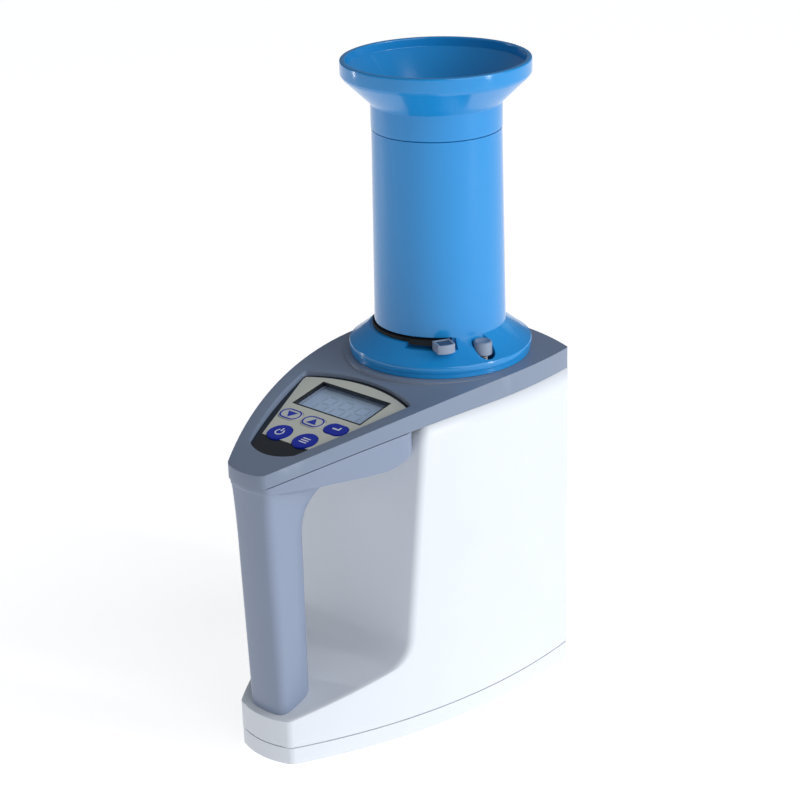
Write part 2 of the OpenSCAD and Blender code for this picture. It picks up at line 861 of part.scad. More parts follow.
module funnel() {
    z0 = tube_top_z + 0.3;
    z1 = tube_top_z + 15.4;
    z2 = tube_top_z + 31.2;
    top = tube_top_z + funnel_h;
    collar_r = tube_r - 1;
    rim_in = rim_r - 3.3;
    color([0.20, 0.56, 0.84]) at_tube() rotate_extrude() polygon([
        [bore_r, z0 - socket_d + 0.6], [socket_r - 0.5, z0 - socket_d + 0.6], [socket_r - 0.5, z0],
        [collar_r - 0.4, z0], [collar_r, z0 + 0.4], [collar_r, z1], [rim_r - 1.4, z2 - 0.8], [rim_r, z2 + 0.6],
        [rim_r, top - 0.8], [rim_r - 0.8, top], [rim_in + 0.5, top], [rim_in, top - 0.5], [rim_in, z2 + 4],
        [rim_in - 1.2, z2 + 3.2], [bore_r, z1 + 1.4]
    ]);
}

// ---- shutter ------------------------------------------------------------

module shutter_plate() {
    ear = pivot;
    across_ear = 4.8 * [cos(pivot_a - 90), sin(pivot_a - 90)];
    color([0.78, 0.79, 0.80]) at_tube() translate([0, 0, disc_z]) difference() {
        union() {
            cylinder(h = disc_t, r = disc_r);
            // broader edge on the side where the slot is open, and a tab over the notch
            linear_extrude(disc_t) intersection() {
                circle(ledge_r);
                sector(-43, -222, 70);
            }
            linear_extrude(disc_t) intersection() {
                circle(44);
                sector(-48, -73, 70);
            }
            linear_extrude(disc_t) polygon([
                ear + across_ear, 30 * [cos(108), sin(108)], 30 * [cos(166), sin(166)], ear - across_ear
            ]);
            translate(ear) cylinder(h = disc_t, r = 5);
            translate(grip_root) rotate(grip_a) translate([-6, -3.4]) cube([14, 6.8, disc_t]);
        }
        translate([ear.x, ear.y, -1]) cylinder(h = 5, r = pin_r + 0.05);
    }
}

module grip_plan(d) {
    translate([4.2 + d, -grip_w / 2 + d]) square([grip_len - 6.6, grip_w - 2 * d]);
    intersection() {
        translate([grip_len - 9.4, 0]) circle(9.4 - d);
        translate([4.2 + d, -grip_w / 2 + d]) square([20, grip_w - 2 * d]);
    }
}

module shutter_grip() {
    low = notch_z + 0.5 - disc_z;
    color([0.42, 0.48, 0.56]) at_tube() translate([grip_root.x, grip_root.y, disc_z]) rotate(grip_a) difference() {
        translate([0, 0, low]) linear_extrude(disc_t + 1.5 - low) grip_plan(0);
        translate([0, 0, disc_t + 0.8]) linear_extrude(4) grip_plan(1.3);
        translate([0, -3.4, 0]) cube([8, 6.8, disc_t]);
    }
}

module pivot_pin() {
    color("silver") at_tube() translate([pivot.x, pivot.y, 0]) {
        translate([0, 0, lip_z]) cylinder(h = disc_z + 6.4 - lip_z, r = pin_r);
        translate([0, 0, disc_z + 6.4]) cylinder(h = 1, r = 3.6);
    }
}

module shutter_spring() {
    z0 = disc_z + disc_t + 0.8;
    color([0.55, 0.56, 0.58]) at_tube() translate([pivot.x, pivot.y, 0])
        rotate(pivot_a - 180) wire(concat([[2.2, -8, z0]], helix(2.4, 2.4, z0, z0 + 3.4, 4, 12)), 0.4, 6);
}

module release_button() {
    top = 227;
    low = 219.2;
    color([0.55, 0.60, 0.68]) at_tube() translate([button_xy.x, button_xy.y, 0]) difference() {
        union() {
            translate([0, 0, low]) cylinder(h = top - low - 0.6, r = button_r);
            translate([0, 0, top - 0.6]) cylinder(h = 0.6, r1 = button_r, r2 = button_r - 0.6);
            translate([0, 0, 213.2]) cylinder(h = low - 213.2, r = 1.6);
            // catch nose that reaches under the edge of the disc
            rotate(button_a) translate([catch_r - button_rad, -1.5, catch_z]) cube([button_rad - catch_r, 3, 1.6]);
        }
        translate([0, 0, top + 6.7]) sphere(8);
    }
}

module button_spring() {
    color([0.55, 0.56, 0.58]) at_tube() translate([button_xy.x, button_xy.y, 0])
        wire(helix(3.2, 3.2, 213.95, 218.75, 4, 12), 0.4, 6);
}

main_housing();
base_cover();
handle_grip();
top_deck();
panel_plate();
keypad_overlay();
key_down();
key_up();
key_enter();
key_power();
key_mode();
lcd_lens();
lcd_module();
panel_board();
key_switches();
main_board();
board_components();
cell_cup();
cell_electrode();
cell_base();
temperature_probe();
cell_bracket();
cell_board();
battery_case();
battery_cells();
battery_contacts();
battery_door();
rubber_feet();
deck_screws();
base_screws();
bracket_screws();
handle_screw();
panel_screws();
drop_tube();
funnel();
shutter_plate();
shutter_grip();
pivot_pin();
shutter_spring();
release_button();
button_spring();
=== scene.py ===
import math

import bmesh
import bpy
from mathutils import Matrix, Vector


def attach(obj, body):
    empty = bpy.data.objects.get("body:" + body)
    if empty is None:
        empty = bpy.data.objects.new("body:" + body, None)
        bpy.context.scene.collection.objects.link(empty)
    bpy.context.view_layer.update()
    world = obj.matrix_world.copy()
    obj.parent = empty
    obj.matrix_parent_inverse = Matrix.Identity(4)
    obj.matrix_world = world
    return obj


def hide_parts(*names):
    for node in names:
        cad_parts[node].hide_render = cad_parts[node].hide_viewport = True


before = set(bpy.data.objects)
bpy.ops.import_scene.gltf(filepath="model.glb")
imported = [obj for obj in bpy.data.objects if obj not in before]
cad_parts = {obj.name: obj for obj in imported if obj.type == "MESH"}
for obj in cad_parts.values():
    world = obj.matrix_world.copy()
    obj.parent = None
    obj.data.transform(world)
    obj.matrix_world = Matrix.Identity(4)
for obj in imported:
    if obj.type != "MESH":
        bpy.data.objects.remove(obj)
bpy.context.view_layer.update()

MM = 0.001

# ---- Studio ------------------------------------------------------------------
# A pale, faintly glowing sweep, a broad soft light from the low right and two narrow
# strip lights that draw upright highlights, seen from above the operator's right hand.


def linear(hex_code):
    """Turns an sRGB hex colour into the linear RGBA that the shaders take."""
    channels = [int(hex_code[i:i + 2], 16) / 255 for i in (1, 3, 5)]
    return [c / 12.92 if c <= 0.04045 else ((c + 0.055) / 1.055) ** 2.4 for c in channels] + [1.0]


def add(material, kind, links=None, **settings):
    """Adds one node to a material, sets its sockets and properties, and links its inputs."""
    tree = material.node_tree
    made = tree.nodes.new(kind)
    for name, value in settings.items():
        socket = made.inputs.get(name.replace("_", " "))
        if socket is not None:
            socket.default_value = value
        else:
            setattr(made, name, value)
    for name, source in (links or {}).items():
        tree.links.new(source, made.inputs[name])
    return made


def empty_material(name):
    material = bpy.data.materials.new(name)
    material.use_nodes = True
    material.node_tree.nodes.clear()
    return material


def two_tone(material, factor, first, second):
    """Mixes two hex colours by a factor."""
    mixed = add(material, "ShaderNodeMix", {"Factor": factor}, data_type="RGBA")
    mixed.inputs["A"].default_value = linear(first)
    mixed.inputs["B"].default_value = linear(second)
    return mixed.outputs["Result"]


scene = bpy.context.scene
TURN, PITCH, ROLL = math.radians(43.15), math.radians(21.73), math.radians(-1.43)
back = Vector((math.sin(TURN) * math.cos(PITCH), -math.cos(TURN) * math.cos(PITCH), math.sin(PITCH)))
flat_right = Vector((math.cos(TURN), math.sin(TURN), 0))
flat_up = back.cross(flat_right)
right = flat_right * math.cos(ROLL) + flat_up * math.sin(ROLL)
up = flat_up * math.cos(ROLL) - flat_right * math.sin(ROLL)

camera_at = Vector((813.7, -852.2, 660.8)) * MM
camera = bpy.data.objects.new("camera", bpy.data.cameras.new("camera"))
camera.data.lens = 97.5
camera.data.sensor_width = 36
camera.data.clip_start = 0.05
camera.matrix_world = Matrix((
    (right.x, up.x, back.x, camera_at.x),
    (right.y, up.y, back.y, camera_at.y),
    (right.z, up.z, back.z, camera_at.z),
    (0, 0, 0, 1),
))
scene.collection.objects.link(camera)
scene.camera = camera


def strip_light(name, place, aim, size, watts):
    """A softbox at a place, turned towards a point, both in metres."""
    lamp = bpy.data.objects.new(name, bpy.data.lights.new(name, "AREA"))
    lamp.data.shape = "RECTANGLE"
    lamp.data.size, lamp.data.size_y = size
    lamp.data.energy = watts
    lamp.location = place
    lamp.rotation_euler = (Vector(aim) - Vector(place)).to_track_quat("-Z", "Y").to_euler()
    scene.collection.objects.link(lamp)


strip_light("key_light", (1.35, 0.42, 0.55), (0, 0, 0.22), (0.10, 0.8), 4.6)
strip_light("edge_light", (-1.25, -0.42, 0.5), (0, 0, 0.25), (0.07, 0.8), 2.6)

# the side of the light tent: broad, low and to the right
tent = bpy.data.objects.new("tent_light", bpy.data.lights.new("tent_light", "SUN"))
tent.data.energy = 1.9
tent.data.angle = math.radians(75)
tent.rotation_euler = Vector((1.0, 0.08, 0.5)).to_track_quat("Z", "Y").to_euler()
scene.collection.objects.link(tent)

world = bpy.data.worlds.new("studio")
world.use_nodes = True
world.node_tree.nodes["Background"].inputs["Color"].default_value = linear("#eef3fa")
world.node_tree.nodes["Background"].inputs["Strength"].default_value = 0.2
scene.world = world
scene.view_settings.view_transform = "Standard"

sweep_paper = empty_material("white sweep paper, matt")
noise = add(sweep_paper, "ShaderNodeTexNoise", Scale=900.0, Detail=2.0)
tint = two_tone(sweep_paper, noise.outputs["Fac"], "#c2c2c4", "#c6c6c8")
PAPER_GLOW = 0.74
paper = add(sweep_paper, "ShaderNodeBsdfPrincipled", {"Base Color": tint}, Roughness=0.9,
            Emission_Strength=PAPER_GLOW)
paper.inputs["Emission Color"].default_value = linear("#ffffff")
add(sweep_paper, "ShaderNodeOutputMaterial", {"Surface": paper.outputs["BSDF"]})
FLOOR = 6.0
floor_corners = [(-FLOOR, -FLOOR, 0), (FLOOR, -FLOOR, 0), (FLOOR, FLOOR, 0), (-FLOOR, FLOOR, 0)]
floor_mesh = bpy.data.meshes.new("floor")
floor_mesh.from_pydata(floor_corners, [], [(0, 1, 2, 3)])
floor = bpy.data.objects.new("floor", floor_mesh)
floor.data.materials.append(sweep_paper)
scene.collection.objects.link(floor)

# ---- Main housing ------------------------------------------------------------
# One tall white ABS moulding, 2.5 mm thick, open at the top and the bottom, with
# the hand opening in front of its slightly leaning, soft-edged front wall.


def speckle(material, place, size_mm, detail):
    """Noise whose patches are about size_mm across."""
    return add(material, "ShaderNodeTexNoise", {"Vector": place}, Scale=1 / (size_mm * MM), Detail=detail)


def moulded_plastic(name, colour, shade, roughness, grain_mm, grain_depth, scuff="#ffffff"):
    """Injection-moulded ABS: faintly cloudy, with a fine spark-eroded grain and paler rubbed corners."""
    material = empty_material(name)
    place = add(material, "ShaderNodeTexCoord").outputs["Object"]
    cloud = speckle(material, place, 45, 3.0)
    mixed = two_tone(material, cloud.outputs["Fac"], colour, shade)
    # corners catch hands and tables: pointiness is above a half on outside edges
    edge = add(material, "ShaderNodeNewGeometry").outputs["Pointiness"]
    scratch = speckle(material, place, 4, 4.0)
    rub = add(material, "ShaderNodeMapRange", {"Value": edge}, From_Min=0.60, From_Max=0.80, To_Max=0.45)
    rub_links = {0: rub.outputs["Result"], 1: scratch.outputs["Fac"]}
    rub_here = add(material, "ShaderNodeMath", rub_links, operation="MULTIPLY")
    worn_links = {"Factor": rub_here.outputs["Value"], "A": mixed}
    worn = add(material, "ShaderNodeMix", worn_links, data_type="RGBA")
    worn.inputs["B"].default_value = linear(scuff)
    # gloss varies a little where hands polish it
    handled = speckle(material, place, 30, 2.0)
    gloss = add(material, "ShaderNodeMapRange", {"Value": handled.outputs["Fac"]},
                To_Min=roughness - 0.04, To_Max=roughness + 0.05)
    # spark-eroded grain, drawn at its real pitch in millimetres
    grain = speckle(material, place, grain_mm, 2.0)
    bump = add(material, "ShaderNodeBump", {"Height": grain.outputs["Fac"]},
               Strength=1.0, Distance=grain_depth * MM)
    links = {"Base Color": worn.outputs["Result"], "Roughness": gloss.outputs["Result"],
             "Normal": bump.outputs["Normal"]}
    plastic = add(material, "ShaderNodeBsdfPrincipled", links, IOR=1.53)
    add(material, "ShaderNodeOutputMaterial", {"Surface": plastic.outputs["BSDF"]})
    return material


# plan shapes shared by the housing and the handle, in millimetres
HALF_W, WIDEST_Y, REAR_Y = 62.0, 57.5, 113.0
DECK_SIDE_R, BASE_SIDE_R = 321.0, 338.0
REAR_R, NOSE_R = 147.0, 46.9
SEAM_R, SEAM_Y, SEAM_Z = 420.0, 20.0, 196.8
BASE_NOSE_Y = -109.3


def side_x(y, radius):
    """Half-width of the case at y, on the long side arc."""
    return HALF_W - radius + math.sqrt(radius ** 2 - (y - WIDEST_Y) ** 2)


def seam_height(y):
    """Height of the joint line under the deck."""
    return SEAM_Z if y >= SEAM_Y else SEAM_Z - SEAM_R + math.sqrt(SEAM_R ** 2 - (y - SEAM_Y) ** 2)


def arc_y(x, end_y, radius, sign):
    """A shallow arc across the case through (0, end_y), bulging outwards."""
    return end_y - sign * (radius - math.sqrt(max(radius ** 2 - x * x, 0.0)))


def plan_ring(front, rear, width, straight=7, turn=8, along=26):
    """Half of a closed plan outline, from the middle of the front round the +X side to the back's middle.

    An end is (y, fillet radius, end arc radius), and width gives the half-width at a y.
    """
    half = []
    for (end, fillet, end_r), sign in ((front, -1), (rear, 1)):
        # corner where the end arc meets the side, then the centre of a fillet between them
        x = width(end)
        for _ in range(12):
            x = width(arc_y(x, end, end_r, sign))
        corner_y = arc_y(x, end, end_r, sign)
        cy = corner_y - sign * fillet
        for _ in range(12):
            cx = width(cy) - fillet * math.sqrt(1 + ((width(cy + 0.1) - width(cy - 0.1)) / 0.2) ** 2)
            cy = arc_y(cx, end, end_r, sign) - sign * fillet
        slope = (width(cy + 0.1) - width(cy - 0.1)) / 0.2
        side_angle = math.atan2(-slope, 1)
        end_angle = math.atan2(sign * math.sqrt(max(end_r ** 2 - cx * cx, 1e-6)), cx)
        reach = [(rx, arc_y(rx, end, end_r, sign)) for rx in (cx * i / straight for i in range(straight))]
        bend = []
        for i in range(turn + 1):
            a = end_angle + (side_angle - end_angle) * i / turn
            bend.append((cx + fillet * math.cos(a), cy + fillet * math.sin(a)))
        half.append(reach + bend)
    start, finish = half[0][-1][1], half[1][-1][1]
    side_ys = [start + (finish - start) * i / along for i in range(1, along)]
    side = [(width(y), y) for y in side_ys]
    return half[0] + side + half[1][::-1]


def piece_from(name, mesh):
    """Turns a finished bmesh into an object in the scene."""
    data = bpy.data.meshes.new(name)
    mesh.to_mesh(data)
    mesh.free()
    made = bpy.data.objects.new(name, data)
    scene.collection.objects.link(made)
    return made


def loft(name, rings, closed=False):
    """Skins a stack of closed half outlines, mirrored about the middle plane, with quads."""
    mesh = bmesh.new()
    rows = []
    for half in rings:
        full = list(half) + [(-x, y, z) for x, y, z in half[-2:0:-1]]
        rows.append([mesh.verts.new((x * MM, y * MM, z * MM)) for x, y, z in full])
    count = len(rows[0])
    for low, high in zip(rows, rows[1:]):
        for i in range(count):
            mesh.faces.new((low[i], low[(i + 1) % count], high[(i + 1) % count], high[i]))
    for row in (rows[0], rows[-1]) if closed else ():
        for i in range(count // 2):
            quad = [row[i], row[i + 1], row[(count - i - 1) % count], row[(count - i) % count]]
            mesh.faces.new(list(dict.fromkeys(quad)))
    bmesh.ops.recalc_face_normals(mesh, faces=mesh.faces)
    return piece_from(name, mesh)


def smooth_by_angle(piece, degrees=32):
    """Shades smooth but keeps real corners crisp."""
    for face in piece.data.polygons:
        face.use_smooth = True
    piece.data.set_sharp_from_angle(angle=math.radians(degrees))


# the opening behind the handle: a leaning wall and a ramp, joined by a hollow corner
WALL_FOOT_Y, WALL_FOOT_Z = -34.33, 50.55
LEAN_ANGLE, RAMP_ANGLE = math.radians(5.06), math.radians(16)
WALL_LEAN, RAMP = math.tan(LEAN_ANGLE), math.tan(RAMP_ANGLE)
HOLLOW_R = 19.5
HOUSING_LOW, HOLLOW_TOP = 12.3, 66.0
RAMP_NOSE_Z = WALL_FOOT_Z + (BASE_NOSE_Y - WALL_FOOT_Y) * RAMP


def opening_edge(z):
    """How far forward the housing reaches at a height: ramp, hollow corner, then the leaning wall."""
    wall_y = WALL_FOOT_Y + (z - WALL_FOOT_Z) * WALL_LEAN
    ramp_y = WALL_FOOT_Y + (z - WALL_FOOT_Z) / RAMP
    wall_up, ramp_down = math.pi / 2 - LEAN_ANGLE, math.pi + RAMP_ANGLE
    bisector, spread = (wall_up + ramp_down) / 2, (ramp_down - wall_up) / 2
    reach = HOLLOW_R / math.sin(spread)
    cy, cz = WALL_FOOT_Y + reach * math.cos(bisector), WALL_FOOT_Z + reach * math.sin(bisector)
    if z >= cz - HOLLOW_R * math.sin(LEAN_ANGLE):
        return wall_y
    if z <= cz - HOLLOW_R * math.cos(RAMP_ANGLE):
        return max(ramp_y, BASE_NOSE_Y)
    return cy + math.sqrt(max(HOLLOW_R ** 2 - (z - cz) ** 2, 0))


def share(value, low, high):
    """How far a value has come from low to high, from 0 to 1."""
    return min(max((value - low) / (high - low), 0.0), 1.0)


def housing_rings():
    """Outlines of the housing from its lower edge, closely spaced over the ramp, up to the deck's seam."""
    top = SEAM_Z - 0.3
    nearly_flat_r, corner_r, wall_corner_r, rear_corner_r = 4000, 6.5, 5.2, 3.2
    heights = [HOUSING_LOW, HOUSING_LOW + 0.5, 18, 23, RAMP_NOSE_Z - 1.2]
    heights += [RAMP_NOSE_Z + (HOLLOW_TOP - RAMP_NOSE_Z) * (i / 70) for i in range(0, 71)]
    heights += [HOLLOW_TOP + (top - HOLLOW_TOP) * i / 12 for i in range(1, 13)]
    for z in heights:
        inset = 0.35 if z == HOUSING_LOW else 0.0
        wall = share(z, RAMP_NOSE_Z, RAMP_NOSE_Z + 3.0)
        front_fillet = corner_r + (wall_corner_r - corner_r) * wall
        front = (opening_edge(z) + inset, front_fillet, NOSE_R + (nearly_flat_r - NOSE_R) * wall ** 2)
        rear = (REAR_Y - inset, rear_corner_r, REAR_R)
        ring = plan_ring(front, rear, lambda y: side_x(y, BASE_SIDE_R) - inset)
        follow = share(z, 150, SEAM_Z)
        yield [(x, y, z + (seam_height(y) - SEAM_Z) * follow) for x, y in ring]


white_abs = moulded_plastic("white ABS, satin moulded", "#dce1e9", "#d7dde5", 0.36, 0.55, 0.006)
housing = loft("housing_shell", list(housing_rings()))
shell = housing.modifiers.new("wall", "SOLIDIFY")
WALL = 2.5
shell.thickness, shell.offset = WALL * MM, -1
smooth_by_angle(housing)
housing.data.materials.append(white_abs)
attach(housing, "root")
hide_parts("main_housing")

# ---- Base cover, battery door and feet ----------------------------------------
# A shallow white ABS tray screwed on from below, with a sliding battery door and
# four black rubber feet pressed into round pockets.


def dress(node, material):
    """Gives a CAD node its finished material."""
    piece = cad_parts[node]
    piece.data.materials.clear()
    piece.data.materials.append(material)


def softened(node, name, width_mm, material, body="root", segments=2, degrees=40, cuts=()):
    """A copy of a CAD node's shape whose real edges are rounded as a mould leaves them.

    Cuts are heights in mm at which tall walls are divided, which keeps their shading even.
    """
    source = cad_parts[node]
    mesh = bmesh.new()
    mesh.from_mesh(source.data)
    bmesh.ops.remove_doubles(mesh, verts=mesh.verts, dist=0.002 * MM)
    bmesh.ops.dissolve_limit(mesh, angle_limit=math.radians(0.6), verts=mesh.verts, edges=mesh.edges)
    for height in cuts:
        everything = list(mesh.verts) + list(mesh.edges) + list(mesh.faces)
        bmesh.ops.bisect_plane(mesh, geom=everything, plane_co=(0, 0, height * MM), plane_no=(0, 0, 1))
    made = piece_from(name, mesh)
    edge = made.modifiers.new("moulded edges", "BEVEL")
    edge.width, edge.segments = width_mm * MM, segments
    edge.limit_method, edge.angle_limit = "ANGLE", math.radians(degrees)
    smooth_by_angle(made, 50)
    made.data.materials.append(material)
    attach(made, body)
    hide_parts(node)


dress("base_cover", white_abs)
dress("battery_door", white_abs)

rubber = moulded_plastic("black rubber, moulded", "#1d1d1f", "#26262a", 0.75, 0.4, 0.02, "#4a4a4e")
dress("rubber_feet", rubber)

# ---- Handle ------------------------------------------------------------------
# A separate grey ABS moulding: an upright grip whose back is half round, flaring
# through a soft web into the bar that carries the display end of the deck.

POST_HALF_W, POST_BACK_Y, POST_LOW = 14.6, -75.0, 28.6
POST_FRONT_Y, POST_LEAN, LEAN_TOP = -111.2, math.tan(math.radians(2.26)), 178.0
WEB_LOW, WEB_REACH, WEB_HALF_W = 136.0, 25.0, 30.0
BAR_Z, BAR_BACK_Y, BAR_TOP, BAR_EDGE = 171.6, -24.3, 198.0, 2.0
BAR_ROUND_Y, BAR_ROUND_R = -50.0, 42.7
SEAM_GAP = 0.8


def handle_rings():
    """Outlines of the handle from its foot up through the flaring web to the top of the bar."""
    grip_low, bar_low = POST_LOW + 1.4, BAR_Z + BAR_EDGE
    heights = [POST_LOW, POST_LOW + 0.6, grip_low]
    heights += [grip_low + (WEB_LOW - grip_low) * i / 14 for i in range(1, 15)]
    heights += [WEB_LOW + (BAR_Z - WEB_LOW) * i / 22 for i in range(1, 23)]
    heights += [BAR_Z + 0.5, BAR_Z + 1.1, bar_low]
    heights += [bar_low + (BAR_TOP - bar_low) * (i / 14) for i in range(1, 15)]
    for z in heights:
        web = share(z, WEB_LOW, BAR_Z)
        flare = 1 - math.sqrt(max(1 - web ** 2, 0.0))
        foot = {POST_LOW: 1.0, POST_LOW + 0.6: 0.35}.get(z, 0.0)
        in_bar = 1.0 if z >= bar_low else max((z - BAR_Z) / BAR_EDGE, 0.0) ** 0.5
        front_y = POST_FRONT_Y + max(LEAN_TOP - z, 0) * POST_LEAN + foot
        web_back = POST_BACK_Y + WEB_REACH * flare
        drop = max(BAR_Z + BAR_ROUND_R - z, 0)
        rounded_back = BAR_ROUND_Y + math.sqrt(max(BAR_ROUND_R ** 2 - drop ** 2, 0))
        bar_back = min(rounded_back, BAR_BACK_Y)
        rear_y = web_back + (bar_back - web_back) * in_bar

        def width(y):
            full = side_x(y, DECK_SIDE_R) - 0.4
            flared = POST_HALF_W + (min(full, WEB_HALF_W) - POST_HALF_W) * flare * 0.8
            return flared + (full - flared) * in_bar - foot

        round_back = (POST_HALF_W - foot - 0.05) * (1 - flare) + 12 * flare
        rear_fillet = round_back + (5.5 - round_back) * in_bar
        half = plan_ring((front_y, 6.2, NOSE_R), (rear_y, rear_fillet, 4000), width)
        lift = share(z, BAR_Z, BAR_TOP)
        yield [(x, y, z + (seam_height(y) - SEAM_GAP - BAR_TOP) * lift) for x, y in half]


grey_abs = moulded_plastic("grey ABS, fine satin grain", "#8592aa", "#818ea6", 0.34, 0.5, 0.007, "#b9c4d6")
handle = loft("handle_moulding", list(handle_rings()), closed=True)
smooth_by_angle(handle, 40)
handle.data.materials.append(grey_abs)
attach(handle, "root")
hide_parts("handle_grip")

# ---- Deck --------------------------------------------------------------------
# The grey-blue ABS top moulding: flat round the loading tube, then falling in one
# large arc to the nose, with a sunk seat for the display panel.

deck_abs = moulded_plastic("slate ABS, satin moulded", "#7d8ba1", "#78869d", 0.33, 0.5, 0.006, "#a9b6c8")
softened("top_deck", "deck_moulding", 0.9, deck_abs, segments=3)

# ---- Display panel -----------------------------------------------------------
# A gloss black plate with a printed beige film over it, a recessed liquid crystal
# window and five blue or outlined keys with plain symbols.

PANEL_TILT = math.radians(11.3)
PANEL = Matrix.Translation((0, -52.5 * MM, 196.2 * MM)) @ Matrix.Rotation(PANEL_TILT, 4, "X")


def flat_piece(name, outlines, height_mm, material, body, thickness_mm=0.06, plane=PANEL):
    """Thin printed or laid-on shapes, given as outlines in millimetres on a plane of their own."""
    mesh = bmesh.new()
    for outline in outlines:
        top_mm = height_mm + thickness_mm
        low = [mesh.verts.new(plane @ Vector((x * MM, y * MM, height_mm * MM))) for x, y in outline]
        high = [mesh.verts.new(plane @ Vector((x * MM, y * MM, top_mm * MM))) for x, y in outline]
        count = len(outline)
        mesh.faces.new(high)
        mesh.faces.new(low[::-1])
        for i in range(count):
            mesh.faces.new((low[i], low[(i + 1) % count], high[(i + 1) % count], high[i]))
    bmesh.ops.recalc_face_normals(mesh, faces=mesh.faces)
    made = piece_from(name, mesh)
    made.data.materials.append(material)
    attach(made, body)


black_gloss = moulded_plastic("black acrylic, polished", "#15191f", "#1b2027", 0.12, 2.0, 0.001, "#3a4048")
overlay_film = moulded_plastic("beige printed polyester film", "#d6d7cb", "#cfd0c4", 0.42, 0.35, 0.004,
                               "#dcddd4")
key_blue = moulded_plastic("blue printed key, satin", "#0c2cb4", "#0a26a6", 0.35, 0.4, 0.003, "#4a63d8")
key_pale = moulded_plastic("pale printed key, satin", "#d5d8d4", "#cccfca", 0.4, 0.4, 0.003)
mark_white = moulded_plastic("white screen print", "#eef1f6", "#e6eaf0", 0.5, 0.3, 0.002)
dress("panel_plate", black_gloss)
dress("keypad_overlay", overlay_film)
for node in ("key_down", "key_up"):
    dress(node, key_pale)
for node in ("key_enter", "key_power", "key_mode"):
    dress(node, key_blue)

KEY_TOP = 0.46
OVAL_HALF, OVAL_R = 2.7, 5.3


def stadium(cx, cy, half, radius, count=20):
    """A round-ended bar, drawn round its middle."""
    right_end = [(cx + half + radius * math.cos(a), cy + radius * math.sin(a))
                 for a in (math.pi * (i / count - 0.5) for i in range(count + 1))]
    left_end = [(cx - half + radius * math.cos(a), cy + radius * math.sin(a))
                for a in (math.pi * (i / count + 0.5) for i in range(count + 1))]
    return right_end + left_end


def band(outer, inner):
    """Closed ribbon between two outlines with the same number of points, as small quads."""
    count = len(outer)
    return [[outer[i], outer[(i + 1) % count], inner[(i + 1) % count], inner[i]] for i in range(count)]


def ring_arc(cx, cy, radius, width, start, stop, count=28):
    """An open ring, such as the one in a power symbol."""
    angles = [math.radians(start + (stop - start) * i / count) for i in range(count + 1)]
    wide, narrow = radius + width / 2, radius - width / 2
    outer = [(cx + wide * math.cos(a), cy + wide * math.sin(a)) for a in angles]
    inner = [(cx + narrow * math.cos(a), cy + narrow * math.sin(a)) for a in angles]
    return [[outer[i], outer[i + 1], inner[i + 1], inner[i]] for i in range(count)]


def block(cx, cy, w, h):
    """A rectangle round its middle."""
    return [(cx + sx * w / 2, cy + sy * h / 2) for sx, sy in ((-1, -1), (1, -1), (1, 1), (-1, 1))]


ROW_Y, ROUND_Y, ROW_X, ROUND_X = -4.1, -21.4, 18.0, 10.0
RIM_GAP, RIM_W, ARROW_HALF, ARROW_BASE, ARROW_TIP = 0.52, 0.98, 3.7, 2.4, 3.0
for node, x, points_up in (("key_down", -ROW_X, -1), ("key_up", 0.0, 1)):
    rim_outer = stadium(x, ROW_Y, OVAL_HALF, OVAL_R - RIM_GAP)
    rim_inner = stadium(x, ROW_Y, OVAL_HALF, OVAL_R - RIM_GAP - RIM_W)
    base_y, tip_y = ROW_Y - ARROW_BASE * points_up, ROW_Y + ARROW_TIP * points_up
    arrow = [(x - ARROW_HALF, base_y), (x + ARROW_HALF, base_y), (x, tip_y)]
    flat_piece(node + "_mark", band(rim_outer, rim_inner) + [arrow], KEY_TOP, key_blue, node)
enter = [block(ROW_X, ROW_Y, 5.2, 1.1), block(ROW_X + 2.1, ROW_Y + 1.5, 1.0, 1.9)]
flat_piece("key_enter_mark", enter, KEY_TOP, mark_white, "key_enter")
power = ring_arc(-ROUND_X, ROUND_Y, 2.6, 0.8, 125, 415) + [block(-ROUND_X, ROUND_Y + 2.3, 0.8, 3.0)]
flat_piece("key_power_mark", power, KEY_TOP, mark_white, "key_power")
lines = [block(ROUND_X, ROUND_Y + dy, 5.6, 0.8) for dy in (-1.9, 0.0, 1.9)]
flat_piece("key_mode_mark", lines, KEY_TOP, mark_white, "key_mode")

# ---- Display -----------------------------------------------------------------
# A reflective liquid crystal cell behind a clear acrylic window, switched off, so
# its three digits show only as a faint ghost; a thin black line frames the window.

lcd_glass = moulded_plastic("liquid crystal cell, blue-grey", "#b2cfee", "#afccec", 0.3, 1.2, 0.0003)
lcd_ghost = moulded_plastic("liquid crystal segment at rest", "#9ab6d4", "#98b3d1", 0.3, 1.2, 0.0003)
dress("lcd_module", lcd_glass)

clear_acrylic = empty_material("clear acrylic window, polished")
smudge = add(clear_acrylic, "ShaderNodeTexNoise", Scale=60.0, Detail=3.0)
sheen = add(clear_acrylic, "ShaderNodeMapRange", {"Value": smudge.outputs["Fac"]}, To_Min=0.02, To_Max=0.09)
window_links = {"Roughness": sheen.outputs["Result"]}
window = add(clear_acrylic, "ShaderNodeBsdfPrincipled", window_links, IOR=1.49, Alpha=0.12)
window.inputs["Base Color"].default_value = linear("#dfeaf5")
add(clear_acrylic, "ShaderNodeOutputMaterial", {"Surface": window.outputs["BSDF"]})
dress("lcd_lens", clear_acrylic)

LCD_Y, LCD_FACE = 19.4, -4.39
DIGIT_W, DIGIT_H, STROKE, LEAN = 8.0, 15.0, 1.5, 0.05


